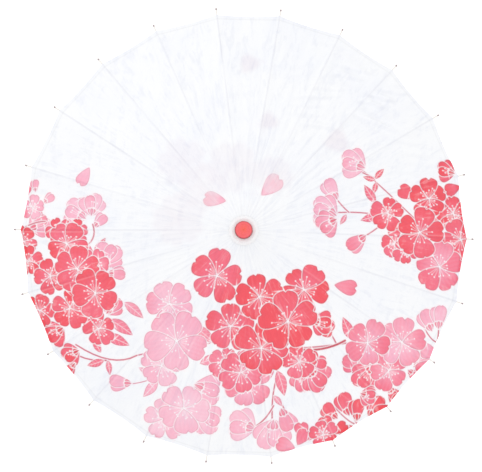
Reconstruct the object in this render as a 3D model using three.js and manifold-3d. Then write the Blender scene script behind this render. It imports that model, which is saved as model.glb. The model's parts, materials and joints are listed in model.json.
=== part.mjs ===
// An oil paper umbrella (parasol), open. Millimetres, +Z up.
// The origin is the centre of the grip's flat lower end, and the shaft runs along +Z.
//
// A round shaft carries a fixed, slotted top hub. Twenty-two split-bamboo ribs turn in its slots on a thread
// ring. A slotted runner slides on the shaft below it and carries twenty-two stretchers on a thread ring of
// its own. Each stretcher's outer end turns in a slit near the middle of its rib, on a third thread ring.
// A stretcher is exactly as long as the stretch of rib above its pivot, and both hubs have the same pivot
// radius, so rib and stretcher always lean by the same angle. The runner then moves straight along the shaft.
import * as THREE from "three";
import { mergeVertices } from "three/addons/utils/BufferGeometryUtils.js";
import Module from "manifold-3d";

const wasm = await Module();
wasm.setup();

const TURN = 2 * Math.PI;
const degrees = THREE.MathUtils.degToRad;

// ---- Driving dimensions ----
const RIB_COUNT = 22;
const RIB_LENGTH = 425; // hub pivot to tip
const ARM_LENGTH = 180; // hub pivot to stretcher pivot, and the stretcher's own length
const LEAN = degrees(22); // of an open rib, below the horizontal
const HUB_PIVOT_Z = 525; // of the top hub's thread ring above the grip's end
const PIVOT_RADIUS = 16; // of both hubs' thread rings
const SHAFT_RADIUS = 6;
const ROUND_SIDES = 2 * RIB_COUNT; // facets of every turned piece

// ---- Shared fits ----
const GAP = 0.3; // between pieces that rest on each other
const BORE_RADIUS = SHAFT_RADIUS + 0.15; // of a fixed piece on the shaft
const RUNNER_BORE_RADIUS = SHAFT_RADIUS + 0.5;
const THREAD_RADIUS = 0.4;
const THREAD_HOLE_RADIUS = 0.8;
const HALF_PITCH = Math.PI / RIB_COUNT;
const RUNNER_PIVOT_Z = HUB_PIVOT_Z - 2 * ARM_LENGTH * Math.sin(LEAN);

// ---- Ribs and stretchers ----
const RIB_WIDTH = 3.6;
const RIB_TIP_WIDTH = 2.8;
const RIB_BACK = 2; // the face the paper is glued to, above the pivot line
const RIB_BELLY = -2;
const RIB_TIP_BELLY = -0.6;
const RIB_TAPER_START = 240;
const EYE_RADIUS = 2.8;
const TONGUE_WIDTH = 1.7; // of each end that sits in a hub slot
const TONGUE_LENGTH = 8.5;
const SLIT_WIDTH = 1.9; // in the rib, for the stretcher's thin end
const SLIT_ABOVE_PIVOT = 8;
const SLIT_BELOW_PIVOT = 44;
const STRETCHER_WIDTH = 3;
const STRETCHER_HALF_DEPTH = 1.6;
const THIN_END_WIDTH = 1.3;
const THIN_END_LENGTH = 41;
const THIN_EYE_RADIUS = 1.8;

// ---- Hubs ----
const HUB_RADIUS = 19;
const SLOT_WIDTH = 2.3;
const SLOT_FLOOR_RADIUS = 12.5;
const SLOT_BEYOND_PIVOT = 3.6;
const HUB_LIP = 7; // from the pivot to the hub's open face
const HUB_HEIGHT_ABOVE_PIVOT = 14;
const GROOVE_FLOOR_RADIUS = 15.2;
const GROOVE_HALF_HEIGHT = 0.8;
const HUB_TOP_Z = HUB_PIVOT_Z + HUB_HEIGHT_ABOVE_PIVOT;

// ---- Canopy ----
const PAPER_THICKNESS = 0.6;
const PAPER_START = 3.6; // along the rib from its pivot
const PAPER_END = RIB_LENGTH - 16;
const PAPER_STATIONS = 9;
const RIM_SCALLOP = 3; // how far the rim is drawn in midway between two ribs
const PAPER_SAG = 3; // of the paper midway between two ribs, at the rim

// ---- Turned and small pieces ----
const GRIP_HEIGHT = 100;
const GRIP_FLOOR = 12; // solid wood under the grip's bore
const SHAFT_TOP_Z = HUB_TOP_Z + 7.5;
const FINIAL_RADIUS = 14.4;
const FINIAL_HEIGHT = 14;
const HOOD_RADIUS = 23;
const HUB_PIN_RADIUS = 1;
const HUB_PIN_Z = HUB_PIVOT_Z + 8;
const RUNNER_TAIL = 36; // from the runner's pivot ring to its lower end
const CATCH_WIDTH = 2.4;
const CATCH_SLOT_WIDTH = 3;
const CATCH_TOP_Z = RUNNER_PIVOT_Z - RUNNER_TAIL - 0.8;
const CATCH_PIN_Z = CATCH_TOP_Z - 27;
const CATCH_PIN_RADIUS = 0.8;

const MATERIALS = {
  bamboo: new THREE.MeshStandardMaterial({ color: 0xe6d3a8, roughness: 0.6 }),
  wood: new THREE.MeshStandardMaterial({ color: 0xc99b62, roughness: 0.45 }),
  lacquer: new THREE.MeshStandardMaterial({ color: 0xe8413f, roughness: 0.25 }),
  paper: new THREE.MeshStandardMaterial({ color: 0xfbf7f7, roughness: 0.7, side: THREE.DoubleSide }),
  thread: new THREE.MeshStandardMaterial({ color: 0xf4f0e6, roughness: 0.9 }),
  steel: new THREE.MeshStandardMaterial({ color: 0xb9bcc0, roughness: 0.35, metalness: 1 }),
};

// ---- Geometry helpers ----

// A closed geometry as a solid that can be cut and joined.
function solidOf(geometry) {
  const bare = geometry.clone();
  bare.deleteAttribute("normal");
  bare.deleteAttribute("uv");
  const merged = mergeVertices(bare, 1e-3);
  const solid = new wasm.Manifold(
    new wasm.Mesh({
      numProp: 3,
      vertProperties: merged.attributes.position.array,
      triVerts: new Uint32Array(merged.index.array),
    }),
  );
  if (solid.volume() <= 0) throw new Error("a shape is inside out");
  return solid;
}

// A solid back as a geometry with flat facets.
function geometryOf(solid) {
  const mesh = solid.getMesh();
  const geometry = new THREE.BufferGeometry();
  geometry.setAttribute("position", new THREE.BufferAttribute(mesh.vertProperties, 3));
  geometry.setIndex(new THREE.BufferAttribute(mesh.triVerts, 1));
  geometry.computeVertexNormals();
  return geometry;
}

// A piece turned about Z, from [radius, height] pairs listed up the outside and back down the bore.
function turned(profile, sides = ROUND_SIDES) {
  const closed = [...profile, profile[0]].map(([radius, height]) => new THREE.Vector2(radius, height));
  return new THREE.LatheGeometry(closed, sides).rotateX(Math.PI / 2);
}

// A solid piece turned about Z, whose profile starts and ends on the axis.
function turnedSolid(profile, sides = ROUND_SIDES) {
  const points = profile.map(([radius, height]) => new THREE.Vector2(radius, height));
  return new THREE.LatheGeometry(points, sides).rotateX(Math.PI / 2);
}

// A round bar along Z whose facets line up with those of the turned pieces.
function bar(radius, bottom, top) {
  return turnedSolid([[0, bottom], [radius, bottom], [radius, top], [0, top]]);
}

// A thin round bar centred on the origin, lying along X or Y.
function crossBar(radius, length, along) {
  const geometry = new THREE.CylinderGeometry(radius, radius, length, 12);
  return along === "x" ? geometry.rotateZ(Math.PI / 2) : geometry;
}

function block(width, depth, height, x, y, z) {
  return new THREE.BoxGeometry(width, depth, height).translate(x, y, z);
}

function outline(points) {
  return new THREE.Shape(points.map(([x, y]) => new THREE.Vector2(x, y)));
}

function roundHole(x, y, radius, sides = 8) {
  const ring = [];
  for (let k = 0; k < sides; k++) {
    const angle = (TURN * k) / sides;
    ring.push(new THREE.Vector2(x + radius * Math.cos(angle), y - radius * Math.sin(angle)));
  }
  return new THREE.Path(ring);
}

// A rounded end about (x, 0), anticlockwise: the left end of a bar with side 1, the right end with side -1.
function roundedEnd(x, radius, side, steps = 6) {
  const points = [];
  for (let k = 0; k <= steps; k++) {
    const angle = Math.PI / 2 + (Math.PI * k) / steps;
    points.push([x + side * radius * Math.cos(angle), side * radius * Math.sin(angle)]);
  }
  return points;
}

// A bar along +X: its side view (x, z) and its plan (x, y) are both extruded, and the two are intersected.
function barFromViews(sideView, planView, width, depth) {
  const side = new THREE.ExtrudeGeometry(sideView, { depth: width, bevelEnabled: false })
    .rotateX(Math.PI / 2)
    .translate(0, width / 2, 0);
  const plan = new THREE.ExtrudeGeometry(planView, { depth, bevelEnabled: false }).translate(0, 0, -depth / 2);
  return solidOf(side).intersect(solidOf(plan));
}

// A ring of thread round the shaft, straight between its bends.
function threadRing(radius, height, radiusOfThread, bendsAtRibs) {
  const centre = bendsAtRibs ? radius : radius / Math.cos(HALF_PITCH);
  const profile = [];
  for (let k = 0; k < 6; k++) {
    const angle = (TURN * k) / 6;
    profile.push([centre + radiusOfThread * Math.cos(angle), height + radiusOfThread * Math.sin(angle)]);
  }
  // a lathe starts its first section at +Z of its own frame, a quarter turn from the first rib
  const firstBend = Math.PI / 2 + (bendsAtRibs ? 0 : HALF_PITCH);
  return turned(profile, RIB_COUNT).rotateZ(firstBend);
}

const root = new THREE.Group();
root.name = "oil_paper_umbrella";

function place(name, geometry, material, parent = root) {
  const mesh = new THREE.Mesh(geometry, MATERIALS[material]);
  mesh.name = name;
  parent.add(mesh);
  return mesh;
}

// ---- Ribs ----

function ribGeometry() {
  const side = outline([
    ...roundedEnd(0, EYE_RADIUS, 1),
    [3, RIB_BELLY],
    [RIB_TAPER_START, RIB_BELLY],
    [RIB_LENGTH, RIB_TIP_BELLY],
    [RIB_LENGTH, RIB_BACK],
    [3, RIB_BACK],
  ]);
  side.holes.push(
    roundHole(0, 0, THREAD_HOLE_RADIUS),
    roundHole(ARM_LENGTH, 0, THREAD_HOLE_RADIUS),
    roundHole(PAPER_END, RIB_BACK - 1.3, THREAD_HOLE_RADIUS - 0.1),
  );
  const tongue = TONGUE_WIDTH / 2;
  const half = RIB_WIDTH / 2;
  const tip = RIB_TIP_WIDTH / 2;
  const start = -EYE_RADIUS - 1;
  const plan = outline([
    [start, -tongue],
    [TONGUE_LENGTH, -tongue],
    [TONGUE_LENGTH + 3, -half],
    [RIB_TAPER_START, -half],
    [RIB_LENGTH + 1, -tip],
    [RIB_LENGTH + 1, tip],
    [RIB_TAPER_START, half],
    [TONGUE_LENGTH + 3, half],
    [TONGUE_LENGTH, tongue],
    [start, tongue],
  ]);
  const slitStart = ARM_LENGTH - SLIT_ABOVE_PIVOT;
  const slitEnd = ARM_LENGTH + SLIT_BELOW_PIVOT;
  const slit = SLIT_WIDTH / 2;
  plan.holes.push(
    new THREE.Path([
      new THREE.Vector2(slitStart, -slit),
      new THREE.Vector2(slitStart, slit),
      new THREE.Vector2(slitEnd, slit),
      new THREE.Vector2(slitEnd, -slit),
    ]),
  );
  return geometryOf(barFromViews(side, plan, RIB_WIDTH + 2, 4 * EYE_RADIUS));
}

// ---- Stretchers, from the runner pivot at x = 0 to the rib pivot at x = ARM_LENGTH ----

function stretcherGeometry() {
  const depth = STRETCHER_HALF_DEPTH;
  const farEnd = roundedEnd(ARM_LENGTH, THIN_EYE_RADIUS, -1);
  const side = outline([
    ...roundedEnd(0, EYE_RADIUS, 1),
    [3, -depth],
    [ARM_LENGTH - 2, -depth],
    ...farEnd,
    [ARM_LENGTH - 2, depth],
    [3, depth],
  ]);
  side.holes.push(
    roundHole(0, 0, THREAD_HOLE_RADIUS),
    roundHole(ARM_LENGTH, 0, THREAD_HOLE_RADIUS),
  );
  const tongue = TONGUE_WIDTH / 2;
  const half = STRETCHER_WIDTH / 2;
  const thin = THIN_END_WIDTH / 2;
  const thinStart = ARM_LENGTH - THIN_END_LENGTH;
  const start = -EYE_RADIUS - 1;
  const end = ARM_LENGTH + THIN_EYE_RADIUS + 1;
  const lower = [
    [start, -tongue],
    [TONGUE_LENGTH, -tongue],
    [TONGUE_LENGTH + 3, -half],
    [thinStart - 3, -half],
    [thinStart, -thin],
    [end, -thin],
  ];
  const upper = lower.map(([x, y]) => [x, -y]).reverse();
  return geometryOf(barFromViews(side, outline([...lower, ...upper]), STRETCHER_WIDTH + 2, 4 * EYE_RADIUS));
}

// ---- Hubs ----

// The wood that is cut from a hub for its slots and its thread groove. The slots run out through the open
// face, which lies below the pivot on the top hub (opening -1) and above it on the runner (opening +1).
function hubCuts(pivotZ, opening) {
  const closedEnd = pivotZ - opening * SLOT_BEYOND_PIVOT;
  const openEnd = pivotZ + opening * (HUB_LIP + 1);
  const height = Math.abs(openEnd - closedEnd);
  const middle = (openEnd + closedEnd) / 2;
  const depth = HUB_RADIUS + 1 - SLOT_FLOOR_RADIUS;
  let cuts = solidOf(
    turned([
      [GROOVE_FLOOR_RADIUS, pivotZ - GROOVE_HALF_HEIGHT],
      [HUB_RADIUS + 1, pivotZ - GROOVE_HALF_HEIGHT],
      [HUB_RADIUS + 1, pivotZ + GROOVE_HALF_HEIGHT],
      [GROOVE_FLOOR_RADIUS, pivotZ + GROOVE_HALF_HEIGHT],
    ]),
  );
  for (let k = 0; k < RIB_COUNT; k++) {
    const slot = block(depth, SLOT_WIDTH, height, SLOT_FLOOR_RADIUS + depth / 2, 0, middle);
    cuts = cuts.add(solidOf(slot.rotateZ((TURN * k) / RIB_COUNT)));
  }
  return cuts;
}

function topHub() {
  const bottom = HUB_PIVOT_Z - HUB_LIP;
  const blank = turned([
    [BORE_RADIUS, bottom],
    [HUB_RADIUS, bottom],
    [HUB_RADIUS, HUB_TOP_Z],
    [BORE_RADIUS, HUB_TOP_Z],
  ]);
  const pinHole = crossBar(HUB_PIN_RADIUS + 0.1, 3 * HUB_RADIUS, "y").translate(0, 0, HUB_PIN_Z);
  return geometryOf(solidOf(blank).subtract(hubCuts(HUB_PIVOT_Z, -1)).subtract(solidOf(pinHole)));
}

// A turned spool: slotted head, narrow neck to hold, and a flared foot that rests on the catch.
function runner() {
  const top = RUNNER_PIVOT_Z + HUB_LIP;
  const foot = RUNNER_PIVOT_Z - RUNNER_TAIL;
  const blank = turned([
    [RUNNER_BORE_RADIUS, foot],
    [12, foot],
    [13, foot + 1.5],
    [13, foot + 4.5],
    [10.5, foot + 7],
    [10, foot + 17],
    [11.5, foot + 21],
    [HUB_RADIUS, foot + 25],
    [HUB_RADIUS, top],
    [RUNNER_BORE_RADIUS, top],
  ]);
  return geometryOf(solidOf(blank).subtract(hubCuts(RUNNER_PIVOT_Z, 1)));
}

// ---- Shaft, catch and turned pieces ----

function shaft() {
  const slotBottom = CATCH_PIN_Z - 6;
  const slotTop = CATCH_TOP_Z + 3;
  const slot = block(CATCH_SLOT_WIDTH, 4 * SHAFT_RADIUS, slotTop - slotBottom, 0, 0, (slotTop + slotBottom) / 2);
  const catchPinHole = crossBar(CATCH_PIN_RADIUS + 0.1, 4 * SHAFT_RADIUS, "x").translate(0, 0, CATCH_PIN_Z);
  const hubPinHole = crossBar(HUB_PIN_RADIUS + 0.1, 4 * SHAFT_RADIUS, "y").translate(0, 0, HUB_PIN_Z);
  return geometryOf(
    solidOf(bar(SHAFT_RADIUS, GRIP_FLOOR + 0.5, SHAFT_TOP_Z))
      .subtract(solidOf(slot))
      .subtract(solidOf(catchPinHole))
      .subtract(solidOf(hubPinHole)),
  );
}

// The sprung catch: a flat tongue in the shaft's slot whose nose stands out under the runner's foot.
// Its profile is drawn outwards (x) and up (y) from its pin, and it faces -Y on the shaft.
function catchTongue() {
  const height = CATCH_TOP_Z - CATCH_PIN_Z;
  const profile = outline([
    [-2.4, -3],
    [2.4, -3],
    [3.4, 6],
    [5.4, 15],
    [8.8, height - 4],
    [8.8, height],
    [2.2, height],
    [-2.4, 4],
  ]);
  profile.holes.push(roundHole(0, 0, CATCH_PIN_RADIUS + 0.1));
  return new THREE.ExtrudeGeometry(profile, { depth: CATCH_WIDTH, bevelEnabled: false })
    .translate(0, 0, -CATCH_WIDTH / 2)
    .rotateX(Math.PI / 2)
    .rotateZ(-Math.PI / 2)
    .translate(0, 0, CATCH_PIN_Z);
}

function grip() {
  return turnedSolid([
    [0, 0],
    [10, 0],
    [11.5, 1.5],
    [11.5, 7],
    [10.4, 8.5],
    [11.2, 10.5],
    [11.8, 30],
    [11.2, 60],
    [10, 84],
    [11, 87],
    [11, 91],
    [9.5, 95],
    [8.4, GRIP_HEIGHT],
    [BORE_RADIUS, GRIP_HEIGHT],
    [BORE_RADIUS, GRIP_FLOOR],
    [0, GRIP_FLOOR],
  ]);
}

function finial() {
  const bottom = HUB_TOP_Z + GAP;
  const top = bottom + FINIAL_HEIGHT;
  const edge = 2.4;
  const rounded = [];
  for (let k = 0; k <= 4; k++) {
    const angle = (Math.PI / 2) * (k / 4);
    rounded.push([FINIAL_RADIUS - edge + edge * Math.cos(angle), top - edge + edge * Math.sin(angle)]);
  }
  return turnedSolid([
    [0, SHAFT_TOP_Z + GAP],
    [BORE_RADIUS, SHAFT_TOP_Z + GAP],
    [BORE_RADIUS, bottom],
    [FINIAL_RADIUS - 0.6, bottom],
    [FINIAL_RADIUS, bottom + 0.6],
    ...rounded,
    [0, top],
  ]);
}

// The hood over the hub: a flat crown round the finial, a wall, and a skirt that flares over the paper.
function topCap() {
  const crown = HUB_TOP_Z + GAP;
  const wall = HUB_RADIUS + GAP;
  const skirtZ = HUB_PIVOT_Z + 4.2;
  const hemZ = HUB_PIVOT_Z + 0.9;
  const skin = 0.8;
  return turned([
    [FINIAL_RADIUS + GAP, crown],
    [wall, crown],
    [wall, skirtZ],
    [HOOD_RADIUS, hemZ],
    [HOOD_RADIUS, hemZ + skin],
    [wall + skin, skirtZ + skin],
    [wall + skin, crown + skin],
    [FINIAL_RADIUS + GAP, crown + skin],
  ]);
}

// ---- Canopy ----

// A point on the paper: `along` the rib from its pivot, `lift` above the rib's back, and `across` from 0 on a
// rib to 1 midway between two. Between ribs the paper is drawn straight from rib to rib, and sags a little.
function paperPoint(along, across, angle, lift) {
  const share = (along - PAPER_START) / (PAPER_END - PAPER_START);
  const run = along - across * RIM_SCALLOP * share ** 3;
  const rise = RIB_BACK + GAP + lift - across * PAPER_SAG * share;
  const radius = PIVOT_RADIUS + run * Math.cos(LEAN) + rise * Math.sin(LEAN);
  const drawnIn = across ? Math.cos(HALF_PITCH) : 1;
  return new THREE.Vector3(
    radius * drawnIn * Math.cos(angle),
    radius * drawnIn * Math.sin(angle),
    HUB_PIVOT_Z - run * Math.sin(LEAN) + rise * Math.cos(LEAN),
  );
}

function canopy() {
  const columns = 2 * RIB_COUNT;
  const positions = [];
  // each column is a closed loop: out along the upper face, then back along the lower one
  const loop = [];
  for (let k = 0; k <= PAPER_STATIONS; k++) {
    loop.push([PAPER_START + ((PAPER_END - PAPER_START) * k) / PAPER_STATIONS, PAPER_THICKNESS]);
  }
  for (let k = PAPER_STATIONS; k >= 0; k--) loop.push([loop[k][0], 0]);
  for (let c = 0; c < columns; c++) {
    for (const [along, lift] of loop) {
      positions.push(...paperPoint(along, c % 2, c * HALF_PITCH, lift).toArray());
    }
  }
  const index = [];
  for (let c = 0; c < columns; c++) {
    const next = (c + 1) % columns;
    for (let k = 0; k < loop.length; k++) {
      const after = (k + 1) % loop.length;
      const corners = [c, next].map((column) => [column * loop.length + k, column * loop.length + after]);
      const [[a, b], [d, e]] = corners;
      index.push(a, b, e, a, e, d);
    }
  }
  const geometry = new THREE.BufferGeometry();
  geometry.setAttribute("position", new THREE.Float32BufferAttribute(positions, 3));
  geometry.setIndex(index);
  geometry.computeVertexNormals();
  return geometry;
}

// ---- Assembly ----

place("handle_grip", grip(), "wood");
place("shaft", shaft(), "wood");
place("top_hub", topHub(), "wood");
place("runner", runner(), "wood");
place("finial", finial(), "lacquer");
place("top_cap", topCap(), "paper");
place("canopy", canopy(), "paper");
place("hub_pin", crossBar(HUB_PIN_RADIUS, 2 * HUB_RADIUS - 1, "y").translate(0, 0, HUB_PIN_Z), "steel");
place("catch", catchTongue(), "steel");
place("catch_pin", crossBar(CATCH_PIN_RADIUS, 2 * SHAFT_RADIUS - 1, "x").translate(0, 0, CATCH_PIN_Z), "steel");

const joint = {
  radius: PIVOT_RADIUS + ARM_LENGTH * Math.cos(LEAN),
  height: HUB_PIVOT_Z - ARM_LENGTH * Math.sin(LEAN),
};
const edge = {
  radius: PIVOT_RADIUS + PAPER_END * Math.cos(LEAN) + (RIB_BACK - 1.3) * Math.sin(LEAN),
  height: HUB_PIVOT_Z - PAPER_END * Math.sin(LEAN) + (RIB_BACK - 1.3) * Math.cos(LEAN),
};
place("hub_thread", threadRing(PIVOT_RADIUS, HUB_PIVOT_Z, THREAD_RADIUS, false), "thread");
place("runner_thread", threadRing(PIVOT_RADIUS, RUNNER_PIVOT_Z, THREAD_RADIUS, false), "thread");
place("joint_thread", threadRing(joint.radius, joint.height, THREAD_RADIUS - 0.05, true), "thread");
place("edge_thread", threadRing(edge.radius, edge.height, THREAD_RADIUS - 0.1, true), "thread");

const rib = ribGeometry();
const stretcher = stretcherGeometry();
for (let k = 0; k < RIB_COUNT; k++) {
  const number = String(k + 1).padStart(2, "0");
  const spoke = new THREE.Group();
  spoke.rotation.z = (TURN * k) / RIB_COUNT;
  root.add(spoke);
  const ribMesh = place(`rib_${number}`, rib, "bamboo", spoke);
  ribMesh.position.set(PIVOT_RADIUS, 0, HUB_PIVOT_Z);
  ribMesh.rotation.y = LEAN;
  const stretcherMesh = place(`stretcher_${number}`, stretcher, "bamboo", spoke);
  stretcherMesh.position.set(PIVOT_RADIUS, 0, RUNNER_PIVOT_Z);
  stretcherMesh.rotation.y = -LEAN;
}

export default root;
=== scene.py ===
"""An oil paper umbrella, open: printed paper on split bamboo ribs, round a turned hub and a red finial.

Metres, in the frame's axes. Only the print's layout is in millimetres, on the canopy's plan.
"""
import json
import math

import bpy
import numpy as np
from mathutils import Matrix, Vector

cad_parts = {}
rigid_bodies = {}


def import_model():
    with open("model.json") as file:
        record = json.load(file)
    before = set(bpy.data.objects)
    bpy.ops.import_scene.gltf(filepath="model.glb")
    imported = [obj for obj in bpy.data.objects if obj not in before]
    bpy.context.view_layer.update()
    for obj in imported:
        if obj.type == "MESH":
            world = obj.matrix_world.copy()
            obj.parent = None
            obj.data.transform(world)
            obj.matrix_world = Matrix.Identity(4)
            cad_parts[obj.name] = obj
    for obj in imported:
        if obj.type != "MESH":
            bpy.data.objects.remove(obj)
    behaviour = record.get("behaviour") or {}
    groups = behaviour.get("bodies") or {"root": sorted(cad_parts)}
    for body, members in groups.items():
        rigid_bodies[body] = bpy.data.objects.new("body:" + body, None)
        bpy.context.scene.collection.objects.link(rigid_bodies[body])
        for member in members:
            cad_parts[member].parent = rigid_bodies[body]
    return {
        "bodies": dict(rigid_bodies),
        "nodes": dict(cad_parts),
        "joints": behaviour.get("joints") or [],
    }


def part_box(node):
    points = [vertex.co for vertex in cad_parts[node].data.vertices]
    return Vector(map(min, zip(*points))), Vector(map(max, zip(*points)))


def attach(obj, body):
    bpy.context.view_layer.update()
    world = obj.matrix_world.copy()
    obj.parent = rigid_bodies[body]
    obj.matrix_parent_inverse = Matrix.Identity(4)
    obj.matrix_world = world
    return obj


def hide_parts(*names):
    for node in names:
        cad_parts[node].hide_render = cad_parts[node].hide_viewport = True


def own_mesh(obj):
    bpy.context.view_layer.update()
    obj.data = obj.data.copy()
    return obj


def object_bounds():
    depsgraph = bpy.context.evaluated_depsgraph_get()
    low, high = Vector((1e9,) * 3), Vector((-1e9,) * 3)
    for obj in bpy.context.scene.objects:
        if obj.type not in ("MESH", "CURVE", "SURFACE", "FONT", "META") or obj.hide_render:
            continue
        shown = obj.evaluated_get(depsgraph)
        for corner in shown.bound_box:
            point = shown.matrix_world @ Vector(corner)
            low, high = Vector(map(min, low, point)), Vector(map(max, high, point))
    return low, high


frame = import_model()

CAD_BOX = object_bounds()
MM = 0.001
TAU = 2 * math.pi
SHARP = math.radians(40)  # a fold sharper than this is shaded as an edge

# ---- The frame's own dimensions ----
JOINTS = {joint["name"]: joint for joint in frame["joints"]}
FOLD = JOINTS["fold"]
ELBOW = JOINTS["stretcher_hinge_01"]["pos_m"]
RIBS = sum(body.startswith("rib_") for body in frame["bodies"])
PITCH = TAU / RIBS
HALF_PITCH = PITCH / 2
HALF_SIN, HALF_COS = math.sin(HALF_PITCH), math.cos(HALF_PITCH)
PIVOT_RADIUS = math.hypot(*FOLD["pos_m"][:2])
HUB_Z = FOLD["pos_m"][2]
ARM = math.dist(ELBOW, FOLD["pos_m"])
LEAN = math.atan2(HUB_Z - ELBOW[2], ELBOW[0] - PIVOT_RADIUS)
RIB_BACK = 2 * MM
RIB_LENGTH = (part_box("rib_01")[1].x - PIVOT_RADIUS - RIB_BACK * math.sin(LEAN)) / math.cos(LEAN)

# ---- The paper ----
PAPER_LIFT = RIB_BACK + 0.35 * MM  # of its underside above the line through a rib's pivot
PAPER_THICKNESS = 0.35 * MM
PAPER_START = 7.6 * MM  # from the rib's pivot, just clear of the hub's edge when the rib hangs down
PAPER_END = RIB_LENGTH - 16 * MM
SEAM = 2.45 * MM  # half the strip of paper that is glued to a rib
SAG = 2.5 * MM  # of the paper between two ribs, at the rim
RIM_SCALLOP = 1.5 * MM
RIM_RADIUS = PIVOT_RADIUS + PAPER_END * math.cos(LEAN)
HEM_WIDTH = 4 * MM
HEM_THICKNESS = 0.4 * MM
RIDGE = 0.35 * MM  # of the paper over a rib
CELL = 1.25 * MM  # spacing of the paper's mesh
RIM_COLUMNS = 48
STRIP_COLUMNS = 6
HALVES = ((1, "a"), (-1, "b"))  # the two sides of a rib
GATHERS = 0.12 * MM  # heights of the paper's small folds
RIPPLES = 0.07 * MM
DRAG_FOLDS = 1.3 * MM
DRAG_PLACE = (0.22, 0.22)  # to the right and up in the picture
DRAG_REACH = (0.11, 0.10)
SHOW_THROUGH = 0.6  # how strong the print is on the lower face

# ---- The other pieces ----
FINIAL_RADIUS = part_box("finial")[1].x
FINIAL_EDGE = 2.4 * MM
CORE = 0.4 * MM  # the fine hole that a turned piece's profile leaves along its axis
BINDING_LENGTH = 3.4 * MM
BINDING_LIFT = 0.7 * MM
BINDING_RADIUS = 1.45 * MM
BINDING_THREAD = 0.3 * MM
BINDING_TURNS = 3
EDGE_THREAD_RADIUS = 0.3 * MM
JOINT_THREAD_RADIUS = 0.35 * MM
JOINT_THREAD_DROOP = 0.8 * MM

# ---- The camera, as the picture was taken: from above, a little off the shaft's axis ----
CAMERA_DISTANCE = 2.2
CAMERA_TILT = math.radians(2.3)
PICTURE_UP = math.radians(9.4)  # the plan direction that is up in the picture
PICTURE_LEFT = PICTURE_UP + math.pi / 2
CAMERA_LENS = 92.1
CAMERA_SHIFT = (-0.0056, -0.0033)

# ---- The light ----
LAMP_DISTANCE = 1.6
SKY_LIGHT = 0.965
SKY_SEEN = 0.80


def srgb(red, green, blue):
    """A colour as a screen shows it, in the linear values that a shader takes."""
    return tuple(c / 12.92 if c <= 0.04045 else ((c + 0.055) / 1.055) ** 2.4 for c in (red, green, blue))


def smooth(value, low=0.0, high=1.0):
    """0 below low, 1 above high, and an easy curve in between."""
    share = np.clip((value - low) / (high - low), 0, 1)
    return share * share * (3 - 2 * share)


# ---- The print: cherry blossom, painted motif by motif on points of the canopy's plan ----
# Places are (x, y) in millimetres from the finial, with y up in the picture and x to its right. Directions
# are degrees anticlockwise from x. A tone runs from 0, pale pink, to 1, deep coral. A row of a motif is its
# place, its length or radius, its direction and its tone.

WHITE = (1.0, 1.0, 1.0)
PAPER_WHITE = np.array(srgb(0.98, 0.983, 0.99))
LINE_WHITE = np.array(srgb(0.995, 0.965, 0.972))
TONES = (0, 0.33, 0.66, 1)
INKS = np.array([
    srgb(0.99, 0.83, 0.885), srgb(0.99, 0.71, 0.79), srgb(0.975, 0.47, 0.56), srgb(0.965, 0.32, 0.37),
])
EDGE_INKS = np.array([srgb(0.88, 0.60, 0.67), srgb(0.68, 0.20, 0.27)])
GHOST = np.array(srgb(0.95, 0.93, 0.95))
OUTLINE = 1.15  # half the white line between two petals, in mm
SOFTNESS = 1.1  # the width over which a motif's edge fades, in mm
EDGE_DEPTH = 0.6  # where the fine darker line lies inside a motif's edge, in mm
LINE_HALF = 0.5  # half the width of a fine line, in mm
FULLEST = 0.68  # the greatest value of the petal formula
NOTCH_SLOPE = 0.9


def ink(tone):
    """The print's colour for an array of tones."""
    return np.stack([np.interp(tone, TONES, INKS[:, channel]) for channel in range(3)], -1)


def edge_ink(tone):
    """The darker colour of the fine line along a motif's edge, for an array of tones."""
    return np.stack([np.interp(tone, (0, 1), EDGE_INKS[:, channel]) for channel in range(3)], -1)


def direction(degrees):
    """A step of length 1 on the print's plan."""
    return np.array([math.cos(math.radians(degrees)), math.sin(math.radians(degrees))])


def petal_depth(along, across, length, width, notch=0.1, aside=0.0):
    """The depth inside a petal. It widens from its base to seven tenths of its length, and its round end
    has a notch, which may lie aside of the middle."""
    share = np.clip(along / length, 0.003, 0.997)
    half = width / 2 / FULLEST * share**0.7 * np.sqrt(1 - share**4)
    slope = half / length * (0.7 / share - 2 * share**3 / (1 - share**4))
    depth = (half - np.abs(across)) / np.hypot(1, slope)
    rise = NOTCH_SLOPE * np.abs(across - aside)
    cleft = (length * (1 - notch) + rise - along) / math.hypot(1, NOTCH_SLOPE)
    return np.minimum(np.minimum(depth, cleft), np.minimum(along, length - along))


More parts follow.
